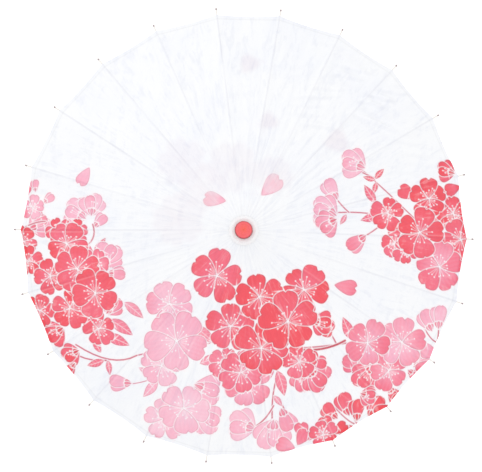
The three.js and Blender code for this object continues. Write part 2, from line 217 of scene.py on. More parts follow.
class Print:
    """Colours of a set of plan points, which motifs are painted over in turn."""

    def __init__(self, points):
        self.points = points
        self.colour = np.tile(PAPER_WHITE, (len(points), 1))
        self.chance = np.random.default_rng(11)

    def near(self, x, y, reach, turn=0.0):
        """The points within reach of a place, with their coordinates along and across a direction."""
        offset = self.points - (x, y)
        chosen = np.nonzero((np.abs(offset[:, 0]) < reach) & (np.abs(offset[:, 1]) < reach))[0]
        offset = offset[chosen]
        way = direction(turn)
        return chosen, offset @ way, offset @ (-way[1], way[0])

    def lay(self, chosen, depth, colour, softness=SOFTNESS, strength=1.0):
        """Paints the points where depth, the distance inside a motif's edge, is positive."""
        cover = strength * np.clip(depth / softness + 0.5, 0, 1)[:, None]
        self.colour[chosen] += (colour - self.colour[chosen]) * cover

    def shape(self, chosen, depth, tone):
        """A filled shape with a white outline and a fine darker line along its edge."""
        self.lay(chosen, depth + OUTLINE, LINE_WHITE)
        self.lay(chosen, depth, ink(tone))
        self.lay(chosen, LINE_HALF - np.abs(depth - EDGE_DEPTH), edge_ink(tone), strength=0.65)

    def stem(self, *places, width=0.8, tone=0.6):
        """A stem bent through three places, or straight between two."""
        start, end = np.array(places[0], float), np.array(places[-1], float)
        middle = np.array(places[1], float) if len(places) == 3 else (start + end) / 2
        bend = 2 * middle - (start + end) / 2
        steps = np.linspace(0, 1, 9)[:, None]
        line = (1 - steps) ** 2 * start + 2 * steps * (1 - steps) * bend + steps**2 * end
        chosen, _, _ = self.near(*line.mean(0), np.abs(line - line.mean(0)).max() + 4 * width)
        points = self.points[chosen]
        distance = np.full(len(chosen), np.inf)
        for near_end, far_end in zip(line, line[1:]):
            way = far_end - near_end
            share = np.clip(((points - near_end) @ way) / (way @ way), 0, 1)
            distance = np.minimum(distance, np.hypot(*(points - near_end - share[:, None] * way).T))
        self.lay(chosen, width + OUTLINE - distance, LINE_WHITE)
        self.lay(chosen, width - distance, (ink(tone) + 2 * edge_ink(tone)) / 3)

    def petal(self, x, y, length, turn, tone, width=0.8, notch=0.1):
        """One petal from its base at (x, y). Its colour is a little uneven, and paler towards its base."""
        chosen, along, across = self.near(x, y, length * 1.15, turn)
        aside, sway, phase = self.chance.uniform((-0.06, -0.06, 0), (0.06, 0.06, 6)) * (length, 1, 1)
        across = across + sway * along * (along / length - 0.5)
        depth = petal_depth(along, across, length, width * length, notch, aside)
        grain = 0.02 * np.sin(across * 0.9 + phase) + 0.05 * np.sin(along / length * 2.5 + phase)
        self.shape(chosen, depth, tone + grain + 0.16 * (along / length - 0.55))

    def leaf(self, x, y, length, turn, tone, width=0.42):
        """A pointed leaf from its stalk at (x, y), with a midrib and side veins."""
        chosen, along, across = self.near(x, y, length * 1.1, turn)
        share = np.clip(along / length, 0, 1)
        across = across + 0.08 * along * (share - 0.6)
        depth = width * length / 2 * np.sin(np.pi * share**0.85) ** 0.9 - np.abs(across)
        depth = np.minimum(depth, np.minimum(along, length - along))
        self.shape(chosen, depth, tone + 0.1 * (share - 0.5))
        spacing = 0.2 * length
        veins = np.abs((along - 0.9 * np.abs(across)) / spacing % 1 - 0.5) * spacing
        line = LINE_HALF - np.minimum(np.abs(across), veins + 0.35)
        self.lay(chosen, np.minimum(line, depth - 1), LINE_WHITE, strength=0.85)

    def blossom(self, x, y, radius, turn, tone, petals=5):
        """An open flower: petals round a centre, each over the last, and stamens with a dot at each end."""
        uniform = self.chance.uniform
        for number in self.chance.permutation(petals):
            away = turn + number * 360 / petals + uniform(-6, 6)
            length = 0.96 * radius * uniform(0.9, 1.08)
            shade = tone + uniform(-0.1, 0.06)
            base = (x, y) + 0.05 * radius * direction(away)
            self.petal(*base, length, away, shade, uniform(0.84, 1.0), uniform(0.05, 0.12))
        self.stamens(x, y, radius, turn, count=20, fan=360)

    def stamens(self, x, y, radius, turn, count, fan):
        """Stamens that fan out round a direction, from a small ring at the centre."""
        chosen, along, across = self.near(x, y, radius * 0.8, turn)
        distance, angle = np.hypot(along, across), np.degrees(np.arctan2(across, along))
        core = 0.4 - np.abs(distance - 0.1 * radius)
        self.lay(chosen, core, LINE_WHITE, strength=0.6)
        for number in range(count):
            aim = (number + self.chance.uniform(-0.3, 0.3)) / count * fan - fan / 2
            length = radius * self.chance.uniform(0.28, 0.58)
            away = np.radians(angle - aim)
            out, side = distance * np.cos(away), np.abs(distance * np.sin(away))
            thread = np.minimum(0.35 - side, np.minimum(length - out, out - 0.14 * radius))
            self.lay(chosen, thread, LINE_WHITE, strength=0.8)
            self.lay(chosen, 1.3 - np.hypot(out - length, side), LINE_WHITE)

    def cup(self, x, y, length, turn, tone):
        """A half-open flower seen from the side, from its stalk at (x, y)."""
        for spread, reach in ((-38, 0.84), (36, 0.9), (-12, 1.0)):
            self.petal(x, y, length * reach, turn + spread, tone - 0.06, 0.58, 0.03)
        self.petal(x, y, length * 0.9, turn + self.chance.uniform(4, 14), tone + 0.03, 0.55, 0.03)
        self.stamens(x, y, length * 1.2, turn, count=5, fan=44)
        self.sepals(x, y, length, turn, tone)

    def bud(self, x, y, length, turn, tone):
        """A closed bud from its stalk at (x, y)."""
        self.petal(x, y, length * 0.95, turn + 13, tone - 0.05, 0.5, 0)
        self.petal(x, y, length, turn - 6, tone, 0.56, 0.03)
        self.sepals(x, y, length, turn, tone)

    def sepals(self, x, y, length, turn, tone):
        """Three small deep petals that hold a bud or a cup."""
        for spread in (-26, 26, 0):
            self.petal(x, y, length * 0.32, turn + spread, tone + 0.15, 0.42, 0)


def repeat(motif, rows, **same):
    """Paints one motif several times, once for each row."""
    for row in rows:
        motif(*row, **same)


def paint_left(sheet):
    """The coral cluster at the left rim, its leaves, and the small sprays above it."""
    repeat(sheet.stem, (
        ((-295, -195), (-235, -220), (-185, -212)), ((-320, -185), (-290, -215), (-240, -222)),
    ), width=1.3)
    repeat(sheet.leaf, (
        (-250, -208, 30, 120, 0.7), (-245, -222, 32, 200, 0.7), (-238, -222, 26, 280, 0.6),
        (-232, -150, 48, -32, 0.6), (-205, -120, 42, -38, 0.5), (-240, -178, 45, -20, 0.65),
        (-245, -70, 32, -8, 0.6), (-262, -40, 38, 130, 0.6), (-258, -42, 38, 62, 0.6),
    ))
    repeat(sheet.cup, (
        (-380, 10, 42, 25, 0.45), (-275, 25, 46, 145, 0.25), (-265, 30, 40, 85, 0.25),
        (-245, -55, 44, 50, 0.35), (-238, -140, 36, 55, 0.62), (-318, -165, 40, 215, 0.88),
        (-290, -205, 34, 205, 0.9),
    ))
    repeat(sheet.bud, (
        (-260, 10, 30, 45, 0.3), (-392, 62, 30, 78, 0.5), (-235, -70, 32, 0, 0.38),
        (-298, -228, 28, 230, 0.85), (-370, 75, 22, 95, 0.32), (-355, 55, 24, 35, 0.35),
    ))
    sheet.stem((-285, -30), (-262, -10), (-262, 15), width=1.2)
    sheet.stem((-350, 22), (-375, 18), (-400, 5), width=1.3)
    repeat(sheet.blossom, (
        (-375, 48, 22, 10, 0.35), (-325, 5, 24, 40, 0.85), (-292, 2, 22, 15, 0.8),
        (-392, -12, 28, 50, 0.9), (-382, -48, 26, 20, 0.9), (-260, -52, 26, 60, 0.62),
        (-252, -166, 30, 30, 0.82), (-362, -135, 31, 75, 0.92), (-340, -75, 31, 35, 0.92),
        (-310, -18, 38, 55, 0.85), (-305, -130, 36, 15, 0.9), (-290, -62, 41, 80, 0.88),
        (-258, -104, 42, 48, 0.85),
    ))


def paint_pale(sheet):
    """The pale blossoms between the left and middle clusters."""
    sheet.stem((-185, -212), (-160, -205), (-120, -190), width=1.2, tone=0.5)
    sheet.stem((-220, -262), (-190, -262), (-150, -250), tone=0.4)
    sheet.stem((-115, -190), (-80, -195), (-40, -180), width=1.2, tone=0.6)
    repeat(sheet.leaf, (
        (-150, -255, 40, 232, 0.35), (-150, -250, 36, 155, 0.3), (-85, -160, 46, -38, 0.55),
        (-75, -225, 42, 20, 0.5), (-128, -262, 34, -62, 0.3),
    ))
    sheet.bud(-196, -262, 40, 178, 0.35)
    repeat(sheet.cup, ((-85, -262, 50, -28, 0.28), (-82, -312, 48, -38, 0.25)))
    repeat(sheet.blossom, (
        (-140, -325, 38, 20, 0.2), (-105, -305, 44, 60, 0.15), (-126, -122, 40, 40, 0.3),
        (-142, -230, 38, 10, 0.25), (-115, -186, 53, 52, 0.25),
    ))


def paint_middle(sheet):
    """The big coral cluster under the finial, and the pale flowers that hang from it."""
    repeat(sheet.stem, (
        ((60, -240), (50, -290), (52, -350)), ((52, -300), (35, -325), (15, -340)),
        ((60, -290), (70, -305), (72, -318)), ((90, -198), (130, -196), (180, -190)),
        ((160, -192), (150, -175), (140, -165)),
    ), width=1.3)
    sheet.stem((95, -200), (135, -200), (175, -186), width=1.9, tone=0.9)
    repeat(sheet.cup, ((20, -342, 50, 160, 0.22), (52, -325, 56, -95, 0.25)))
    sheet.bud(65, -305, 44, -65, 0.42)
    repeat(sheet.leaf, (
        (58, -238, 46, -72, 0.6), (52, -238, 52, 208, 0.55), (45, -280, 22, 130, 0.5),
        (52, -282, 24, -50, 0.5),
    ))
    repeat(sheet.cup, ((100, -232, 44, -75, 0.62), (112, -235, 46, -50, 0.68)))
    sheet.bud(112, -222, 32, -5, 0.75)
    sheet.cup(122, -168, 36, 30, 0.88)
    sheet.petal(95, -210, 34, -15, 0.85)
    sheet.cup(118, -150, 36, -20, 0.9)
    repeat(sheet.blossom, (
        (5, -262, 40, 40, 0.45), (-32, -225, 28, 0, 0.6), (95, -222, 32, 30, 0.8),
        (-5, -240, 38, 65, 0.68), (-22, -160, 41, 20, 0.88), (-45, -75, 43, 78, 0.78),
        (102, -98, 42, 60, 0.95), (26, -110, 42, 30, 0.95), (30, -198, 45, 80, 0.9),
        (75, -152, 49, 20, 1.0),
    ))


def paint_right(sheet):
    """The coral cluster at the right rim, with long sprays towards the middle."""
    repeat(sheet.stem, (
        ((300, 25), (255, 65), (225, 92)), ((225, 92), (205, 108), (190, 118)),
        ((228, 95), (205, 104), (188, 112)), ((250, 28), (200, 34), (150, 32)),
        ((180, 34), (168, 45), (160, 55)), ((210, -5), (230, 8), (250, 25)),
    ), width=1.1)
    repeat(sheet.leaf, (
        (228, 92, 22, 170, 0.8), (228, 94, 24, 50, 0.85), (230, 88, 22, -105, 0.8),
        (228, 52, 36, 125, 0.7), (235, 32, 36, 200, 0.65), (175, 30, 20, -120, 0.6),
        (345, 60, 28, 50, 0.85), (325, 30, 34, -38, 0.85),
    ))
    sheet.cup(210, 112, 46, 158, 0.3)
    repeat(sheet.bud, ((160, 55, 40, 122, 0.25), (210, -5, 40, 217, 0.5)))
    repeat(sheet.cup, ((158, 28, 46, 155, 0.3), (158, 22, 38, 205, 0.5), (375, 108, 34, 165, 0.9)))
    repeat(sheet.petal, ((385, 85, 30, -160, 0.9), (300, 62, 34, 150, 0.9), (385, 130, 26, -70, 0.85)))
    repeat(sheet.blossom, (
        (262, -18, 26, 20, 0.8), (282, -30, 24, 60, 0.8), (372, 36, 32, 25, 0.9), (250, 34, 30, 85, 0.88),
        (326, 62, 34, 92, 0.95), (385, -10, 40, 40, 0.9), (345, -58, 42, 12, 0.62),
        (308, 2, 43, 75, 0.92),
    ))


def paint_lower_right(sheet):
    """The rim cluster at the lower right: pale blossoms inside, deep buds outside."""
    repeat(sheet.stem, (
        ((318, -165), (332, -185), (345, -192)), ((345, -150), (345, -175), (342, -195)),
        ((345, -192), (320, -215), (285, -215)), ((205, -235), (225, -228), (245, -222)),
        ((160, -305), (180, -325), (195, -335)), ((182, -292), (190, -315), (200, -335)),
        ((245, -300), (232, -325), (215, -345)), ((180, -190), (200, -200), (215, -200)),
    ), width=1.1)
    sheet.leaf(190, -185, 44, 118, 0.65)
    repeat(sheet.bud, (
        (333, -172, 42, 118, 0.3), (345, -168, 42, 90, 0.3), (300, -235, 36, 30, 0.45),
        (290, -240, 30, -40, 0.6), (212, -228, 42, 175, 0.62), (186, -320, 44, 112, 0.78),
        (200, -330, 40, 92, 0.95), (222, -325, 44, 68, 0.9), (165, -325, 36, 138, 0.85),
        (255, -270, 36, -55, 0.85), (268, -300, 30, 30, 0.95),
    ))
    repeat(sheet.cup, ((228, -232, 48, 232, 0.72), (205, -280, 30, -20, 0.75)))
    repeat(sheet.petal, (
        (262, -305, 34, 205, 0.95), (205, -345, 40, 195, 1.0), (290, -282, 30, 215, 0.95),
        (150, -350, 32, 110, 0.85), (160, -352, 28, 40, 0.95), (120, -362, 30, 150, 0.75),
        (105, -362, 32, 100, 0.6), (90, -378, 34, 160, 0.5), (95, -372, 32, 60, 0.6),
        (345, -215, 34, 160, 0.4), (330, -225, 30, 220, 0.5),
    ))
    repeat(sheet.blossom, (
        (140, -352, 26, 30, 0.8), (255, -240, 36, 40, 0.6), (277, -190, 42, 10, 0.42),
        (215, -190, 40, 65, 0.55),
    ))


def paint_loose(sheet):
    """Single petals that float free, and the ghosts of petals and blossoms under the paper."""
    repeat(sheet.petal, (
        (-270, 115, 35, 240, 0.35), (-30, 50, 38, 170, 0.38), (30, 60, 45, 45, 0.34),
        (155, -90, 40, -10, 0.62),
    ), width=0.68)
    for x, y, length, turn in ((0, 282, 34, 60), (30, 180, 30, 40), (140, 150, 40, 20)):
        chosen, along, across = sheet.near(x, y, length * 1.1, turn)
        sheet.lay(chosen, petal_depth(along, across, length, length, 0), GHOST, 9, 0.8)
    for x, y, radius in ((-20, 110, 45), (-70, 75, 40), (-105, 120, 42), (-110, 20, 45), (50, 95, 34)):
        for number in range(5):
            chosen, along, across = sheet.near(x, y, radius * 1.1, number * 72 + x)
            sheet.lay(chosen, petal_depth(along, across, radius, 0.9 * radius), GHOST, 8, 0.45)


def print_with_painted_shade(x, y):
    """The print's colours at plan points of the canopy, in the frame's axes, with painted shade along the
    folds and a painted shadow inside the hem.
    """
    up = np.array([math.cos(PICTURE_UP), math.sin(PICTURE_UP)])
    plan = np.stack([x * up[1] - y * up[0], x * up[0] + y * up[1]], -1) / MM
    sheet = Print(plan)
    for paint in (paint_loose, paint_pale, paint_left, paint_middle, paint_lower_right, paint_right):
        paint(sheet)
    return painted_fold_shade(hem_with_painted_shadow(sheet.colour, x, y), x, y)


def painted_fold_shade(colour, x, y):
    """The colours with painted shade: a soft grey along the side of each fold that faces away from the
    light.
    """
    step = 0.5 * MM
    way = PICTURE_UP + math.pi / 3
    rise = wrinkles(x + step * math.cos(way), y + step * math.sin(way)) - wrinkles(x, y)
    # Painted shade: darker where the fold slopes away from the light.
    shade = np.clip(0.32 * rise / step, -0.01, 0.09)[:, None]
    return colour * (1 - shade * (1, 0.95, 0.7))


def hem_with_painted_shadow(colour, x, y):
    """The colours with the print deepened where the paper is folded over at the rim, and a fine painted
    shadow beside it."""
    from_midway = (np.arctan2(y, x) / PITCH % 1 - 0.5) * PITCH
    from_rim = RIM_RADIUS - np.hypot(x, y) * np.cos(from_midway) / HALF_COS
    double = 0.45 * (1 - smooth(from_rim, 5 * MM, 6.5 * MM))[:, None]
    # Painted shadow: a fine grey line just inside the hem.
    shadow = 0.08 * np.exp(-((from_rim - 7 * MM) / (0.9 * MM)) ** 2)[:, None]
    return colour * (1 - double * (1 - colour)) * (1 - shadow)


# ---- Materials ----

class Surface:
    """One procedural material. Each call adds a node and gives its output back."""

    def __init__(self, name):
        self.material = bpy.data.materials.new(name)
        self.material.use_nodes = True
        self.tree = self.material.node_tree
        self.tree.nodes.clear()
        self.spot = self.node("TexCoord").outputs["Object"]

    def node(self, kind, settings=(), **inputs):
        made = self.tree.nodes.new("ShaderNode" + kind)
        for key, value in dict(settings).items():
            setattr(made, key, value)
        for key, value in inputs.items():
            self.put(made.inputs[key.replace("_", " ")], value)
        return made

    def put(self, socket, value):
        if isinstance(value, bpy.types.NodeSocket):
            self.tree.links.new(value, socket)
        else:
            socket.default_value = value

    def math(self, operation, first, second=0.0):
        made = self.node("Math", {"operation": operation})
        self.put(made.inputs[0], first)
        self.put(made.inputs[1], second)
        return made.outputs[0]

    def times(self, first, second):
        return self.math("MULTIPLY", first, second)

    def stretched(self, x, y, z):
        """The piece's own coordinates, scaled on each axis."""
        made = self.node("VectorMath", {"operation": "MULTIPLY"})
        self.put(made.inputs[0], self.spot)
        self.put(made.inputs[1], (x, y, z))
        return made.outputs[0]

    def noise(self, scale, detail, roughness=0.55, distortion=0.0, spot=None):
        made = self.node("TexNoise", Vector=spot or self.spot, Scale=scale, Detail=detail,
                         Roughness=roughness, Distortion=distortion)
        return made.outputs["Fac"]

    def rescale(self, value, low, high, to_low, to_high):
        made = self.node("MapRange", Value=value, From_Min=low, From_Max=high, To_Min=to_low, To_Max=to_high)
        return made.outputs[0]

    def mix(self, share, first, second, blend="MIX"):
        made = self.node("Mix", {"data_type": "RGBA", "blend_type": blend})
        for index, value in ((0, share), (6, first), (7, second)):
            if isinstance(value, tuple) and len(value) == 3:
                value = (*value, 1.0)
            self.put(made.inputs[index], value)
        return made.outputs[2]

    def tint(self, colour, shade, value, low, high, strength):
        """The colour turned into shade as a value goes from low to high, by strength at most."""
        return self.mix(self.rescale(value, low, high, 0, strength), colour, shade)

    def bump(self, height, strength, distance=MM, after=None):
        made = self.node("Bump", Height=height, Strength=strength, Distance=distance)
        if after is not None:
            self.put(made.inputs["Normal"], after)
        return made.outputs[0]

    def around(self):
        """The radius from the shaft, the distance across from the nearest rib, the height, and that rib's
        number."""
        parts = self.node("SeparateXYZ", Vector=self.spot)
        x, y, z = parts.outputs
        radius = self.math("SQRT", self.math("ADD", self.times(x, x), self.times(y, y)))
        turns = self.math("DIVIDE", self.math("ARCTAN2", y, x), PITCH)
        number = self.math("ROUND", turns)
        away = self.times(self.math("SUBTRACT", turns, number), PITCH)
        return radius, self.times(radius, self.math("SINE", away)), z, number

    def finish(self, colour, roughness, normal=None, **extra):
        shader = self.node("BsdfPrincipled", **{"Base Color": colour, "Roughness": roughness, **extra})
        if normal is not None:
            self.put(shader.inputs["Normal"], normal)
        output = self.node("OutputMaterial", Surface=shader.outputs[0])
        output.is_active_output = True
        return self.material


def paper_material():
    """Oiled paper with the print on it: crinkles with painted shade and highlight, long fibres, a soft
    sheen, and painted shade over each rib with a painted highlight beside it.
    """
    made = Surface("printed_paper")
    # The vertex colours hold the print with painted shade along the folds and a painted shadow inside the
    # hem.
    colour = made.node("VertexColor", {"layer_name": "print"}).outputs["Color"]
    crinkle_relief_and_painted_shade = crinkles(made)
    fibres = made.noise(900, 5, 0.65, 0.6)
    clouds = made.noise(14, 3, 0.5)
    colour = made.mix(made.rescale(clouds, 0.4, 0.7, 0.0, 0.3), colour, (0.91, 0.93, 1.0), "MULTIPLY")
    # Painted shade in the crinkles' hollows and a painted highlight on their crests; the same pattern also
    # gives the bump.
    colour = made.mix(made.rescale(crinkle_relief_and_painted_shade, 0.5, 0.38, 0.0, 0.7), colour, (0.90, 0.91, 0.95), "MULTIPLY")
    colour = made.tint(colour, WHITE, crinkle_relief_and_painted_shade, 0.54, 0.66, 0.18)
    colour = made.mix(made.rescale(fibres, 0.35, 0.75, 0.0, 0.4), colour, (0.93, 0.93, 0.95), "MULTIPLY")
    colour = painted_rib_shade_and_highlight(made, colour)
    normal = made.bump(crinkle_relief_and_painted_shade, 0.5, 1.2 * MM)
    normal = made.bump(made.noise(350, 6, 0.6, 0.8), 0.25, 0.3 * MM, normal)
    return made.finish(colour, made.rescale(fibres, 0.3, 0.7, 0.4, 0.58), normal, Sheen_Weight=0.15)


def crinkles(made):
    """Fine crinkles: some that run out from the hub, and some that slant over the whole sheet."""
    radius, _, height, _ = made.around()
    x, y, _ = made.node("SeparateXYZ", Vector=made.spot).outputs
    turn = made.times(made.math("ARCTAN2", y, x), 16.0)
    out = made.times(radius, 14.0)
    down = made.times(height, 3.0)
    polar = made.node("CombineXYZ", X=turn, Y=out, Z=down).outputs[0]
    radial = made.noise(1.6, 6, 0.62, 1.4, polar)
    slanted = made.noise(1, 5, 0.6, 0.8, made.stretched(26, 70, 9))
    return made.math("ADD", made.times(radial, 0.6), made.times(slanted, 0.4))


def painted_rib_shade_and_highlight(made, colour):
    """The colour with a faint painted shade over each rib and a faint painted highlight beside it, uneven
    from rib to rib.
    """
    radius, across, _, number = made.around()
    place = made.node("CombineXYZ", X=made.times(number, 3.7), Y=made.times(radius, 9.0)).outputs[0]
    uneven = made.rescale(made.noise(1, 2, spot=place), 0.35, 0.6, 0.35, 1.0)
    outwards = made.times(made.rescale(radius, 0.05, 0.2, 0.15, 1.0), uneven)
    # Painted shade over the rib, then a painted highlight beside it.
    over = made.rescale(made.math("ABSOLUTE", across), 0.8 * MM, 2.0 * MM, 0.6, 0.0)
    colour = made.mix(made.times(over, outwards), colour, (0.84, 0.84, 0.87), "MULTIPLY")
    beside = made.times(made.rescale(across, 2.4 * MM, 3.2 * MM, 0.0, 0.12), outwards)
    beside = made.times(beside, made.rescale(across, 4 * MM, 6 * MM, 1.0, 0.0))
    return made.mix(beside, colour, WHITE)


def bamboo_material():
    """Split bamboo: fibres along each rib, a tone of its own for each rib, and white paint on the tips."""
    made = Surface("split_bamboo")
    radius, across, height, number = made.around()
    out = made.times(radius, 14.0)
    aside = made.times(across, 2600.0)
    down = made.math("ADD", made.times(height, 60.0), made.times(number, 7.3))
    fibre = made.node("CombineXYZ", X=out, Y=aside, Z=down).outputs[0]
    grain = made.noise(1, 5, 0.65, spot=fibre)
    own = made.node("TexWhiteNoise", {"noise_dimensions": "1D"}, W=number).outputs["Value"]
    colour = made.mix(own, srgb(0.96, 0.92, 0.83), srgb(0.975, 0.945, 0.88))
    colour = made.tint(colour, srgb(0.87, 0.77, 0.60), grain, 0.35, 0.75, 0.7)
    blotch = made.noise(45, 3, 0.5)
    colour = made.tint(colour, srgb(0.83, 0.71, 0.53), blotch, 0.55, 0.75, 0.4)
    tips = made.rescale(radius, RIM_RADIUS - MM, RIM_RADIUS + MM, 0, 0.8)
    colour = made.mix(tips, colour, srgb(0.95, 0.945, 0.94))
    normal = made.bump(grain, 0.5, 0.15 * MM)
    return made.finish(colour, made.rescale(grain, 0.3, 0.8, 0.42, 0.62), normal)


def wood_material():
    """Turned hardwood, waxed: long grain up the shaft and darker pores."""
    made = Surface("turned_wood")
    grain = made.noise(1, 6, 0.6, 0.6, made.stretched(60, 60, 5))
    pores = made.noise(1, 3, 0.6, 0, made.stretched(1500, 1500, 40))
    rings = made.noise(1, 2, 0.5, 1.5, made.stretched(160, 160, 8))
    colour = made.mix(made.rescale(grain, 0.3, 0.7, 0, 1), srgb(0.86, 0.69, 0.47), srgb(0.70, 0.49, 0.29))
    colour = made.tint(colour, srgb(0.60, 0.39, 0.22), rings, 0.5, 0.7, 0.45)
    colour = made.tint(colour, srgb(0.42, 0.26, 0.14), pores, 0.58, 0.72, 0.5)
    normal = made.bump(pores, 0.35, 0.1 * MM)
    return made.finish(colour, made.rescale(grain, 0.3, 0.7, 0.34, 0.46), normal, Coat_Weight=0.15)


def lacquer_material():
    """Coral-red lacquer with fine ripples, painted shade on its rounded rim, and warmer in the middle."""
    made = Surface("red_lacquer")
    radius, _, _, _ = made.around()
    ripple = made.noise(220, 3, 0.5)
    blotches = made.noise(130, 3, 0.5)
    uneven = made.math("ADD", radius, made.rescale(blotches, 0.3, 0.7, -3.5 * MM, 3.5 * MM))
    middle = made.rescale(uneven, 0, 10 * MM, 0.9, 0)
    colour = made.mix(middle, srgb(0.97, 0.38, 0.40), srgb(0.975, 0.37, 0.28))
    # Painted shade where the edge rounds over.
    rim = made.rescale(radius, FINIAL_RADIUS - FINIAL_EDGE, FINIAL_RADIUS, 0, 0.85)
    colour = made.mix(rim, colour, srgb(0.62, 0.13, 0.20))
    specks = made.noise(900, 2, 0.5)
    colour = made.tint(colour, srgb(0.75, 0.18, 0.20), specks, 0.62, 0.75, 0.35)
    normal = made.bump(ripple, 0.15, 0.3 * MM)
    return made.finish(colour, made.rescale(ripple, 0.3, 0.7, 0.22, 0.34), normal, Coat_Weight=0.5)


def collar_material():
    """The plain white oiled paper of the cap."""
    made = Surface("white_paper")
    fibres = made.noise(700, 5, 0.65, 0.6)
    stains = made.noise(90, 3, 0.5)
    woven = made.rescale(fibres, 0.4, 0.75, 0, 0.6)
    colour = made.mix(woven, srgb(0.985, 0.98, 0.985), srgb(0.93, 0.92, 0.93))
    colour = made.tint(colour, srgb(0.96, 0.90, 0.91), stains, 0.5, 0.75, 0.35)
    return made.finish(colour, made.rescale(fibres, 0.3, 0.7, 0.45, 0.65), made.bump(fibres, 0.4, 0.2 * MM))


def thread_material(name, light, dark):
    """Twisted thread: fine slanting plies and loose fibre."""
    made = Surface(name)
    plies = made.node("TexWave", {"bands_direction": "DIAGONAL"}, Vector=made.spot, Scale=900.0)
    fuzz = made.noise(2500, 3, 0.6)
    share = made.times(plies.outputs["Fac"], fuzz)
    return made.finish(made.mix(share, light, dark), 0.85, made.bump(plies.outputs["Fac"], 0.5, 0.1 * MM))


def steel_material():
    """Plain drawn wire and sheet, with faint scratches."""
    made = Surface("steel")
    scratches = made.noise(1, 4, 0.7, 0, made.stretched(300, 300, 4000))
    worn = made.rescale(scratches, 0.4, 0.7, 0, 1)
    colour = made.mix(worn, srgb(0.80, 0.80, 0.82), srgb(0.58, 0.58, 0.61))
    return made.finish(colour, made.rescale(scratches, 0.3, 0.7, 0.22, 0.42), None, Metallic=1.0)


def floor_material():
    """A plain pale sweep: white from above, greyer towards the horizon, and not seen from underneath."""
    made = Surface("floor")
    soft = made.noise(3, 2, 0.5)
    colour = made.mix(soft, (0.82, 0.82, 0.82), (0.79, 0.79, 0.80))
    facing = made.node("LayerWeight", Blend=0.5).outputs["Facing"]
    glow = {"Emission Color": (1, 1, 1, 1), "Emission Strength": made.rescale(facing, 0.05, 0.6, 0.52, 0.0)}
    top = made.node("BsdfPrincipled", **{"Base Color": colour, "Roughness": 0.9, **glow})
    under = made.node("BsdfTransparent")
    sides = made.node("MixShader", Fac=made.node("NewGeometry").outputs["Backfacing"])
    made.put(sides.inputs[1], top.outputs[0])
    made.put(sides.inputs[2], under.outputs[0])
    made.node("OutputMaterial", Surface=sides.outputs[0])
    return made.material


# ---- Meshes ----

def piece(name, points, faces, material, body):
    """A mesh object that rides on a body."""
    mesh = bpy.data.meshes.new(name)
    mesh.from_pydata([tuple(point) for point in points], [], faces)
    mesh.materials.append(material)
    mesh.polygons.foreach_set("use_smooth", [True] * len(mesh.polygons))
    mesh.set_sharp_from_angle(angle=SHARP)
    made = bpy.data.objects.new(name, mesh)
    bpy.context.scene.collection.objects.link(made)
    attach(made, body)
    return made


def lathe(name, profile, material, body, sides=132, ripple=None):
    """A closed profile of (radius, height) turned about the shaft. ripple(angle, radius, height) adds to the
    radius."""
    radius, height = np.array(profile).T
    angle = np.repeat(np.arange(sides) * TAU / sides, len(profile))
    radius, height = np.tile(radius, sides), np.tile(height, sides)
    if ripple:
        radius = radius + ripple(angle, radius, height)
    points = np.stack([radius * np.cos(angle), radius * np.sin(angle), height], -1)
    return piece(name, points, tube_faces(sides, len(profile), closed=True), material, body)


def tube_faces(rings, sides, closed=False):
    """Faces round a tube of rings of points. It runs back into itself, or has its two ends closed."""
    total = rings * sides
    faces = [] if closed else [tuple(range(sides)), tuple(reversed(range(total - sides, total)))]
    for ring in range(rings if closed else rings - 1):
        for side in range(sides):
            here, after = ring * sides + side, ring * sides + (side + 1) % sides
            faces.append((here, (here + sides) % total, (after + sides) % total, after))
    return faces


def rounded(profile, size, steps=4):
    """The profile with each corner rounded off by a curve that starts size away from it."""
    made = []
    points = [np.array(point, float) for point in profile]
    for before, corner, after in zip(points[-1:] + points[:-1], points, points[1:] + points[:1]):
        start = corner + (before - corner) * min(0.45, size / np.linalg.norm(before - corner))
        end = corner + (after - corner) * min(0.45, size / np.linalg.norm(after - corner))
        for share in np.linspace(0, 1, steps):
            made.append((1 - share) ** 2 * start + 2 * share * (1 - share) * corner + share**2 * end)
    return made


# ---- Places on the canopy ----

def on_rib(run, lift, lean=LEAN):
    """The distance from the shaft's axis, and the height, of a place along and above a rib."""
    out = PIVOT_RADIUS + run * math.cos(lean) + lift * math.sin(lean)
    return out, HUB_Z - run * math.sin(lean) + lift * math.cos(lean)


def turned(out, across, height, angle):
    """Points at a distance out from the shaft, in a direction on the plan, and across from it."""
    cos, sin = math.cos(angle), math.sin(angle)
    return np.stack([out * cos - across * sin, out * sin + across * cos, height], -1)


def half_panel(run, lift, chord_at, angle, side):
    """Points between a rib and the next. chord_at gives how far each is from the rib, on the straight line
    to the next rib, for its distance from the shaft."""
    radius, height = on_rib(run, lift)
    chord = chord_at(radius)
    out = radius - chord * HALF_SIN
    return turned(out, side * chord * HALF_COS, height, angle)


def fold_up(made):
    """Gives the piece a mesh of its own."""
    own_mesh(made)


# ---- The canopy ----

def wrinkles(x, y):
    """Height of the paper's small folds: gathers round the hub, radial ripples, and drag folds on one
    side."""
    radius, angle = np.hypot(x, y), np.arctan2(y, x)
    height = GATHERS * np.exp(-radius / 0.12) * np.cos(2 * RIBS * angle + 5 * np.sin(radius / 0.03))
    chance = np.random.default_rng(3)
    outwards = smooth(radius, 0.03, 0.15)
    for waves in (31, 47, 58, 73, 89, 104):
        slope, phase = chance.uniform(-40, 40), chance.uniform(0, TAU)
        fade = 0.5 + 0.5 * np.cos(radius * chance.uniform(15, 45) + 3 * angle + phase)
        height += RIPPLES * fade * np.sin(waves * angle + slope * radius + phase) * outwards
    return height + drag_folds(x, y)


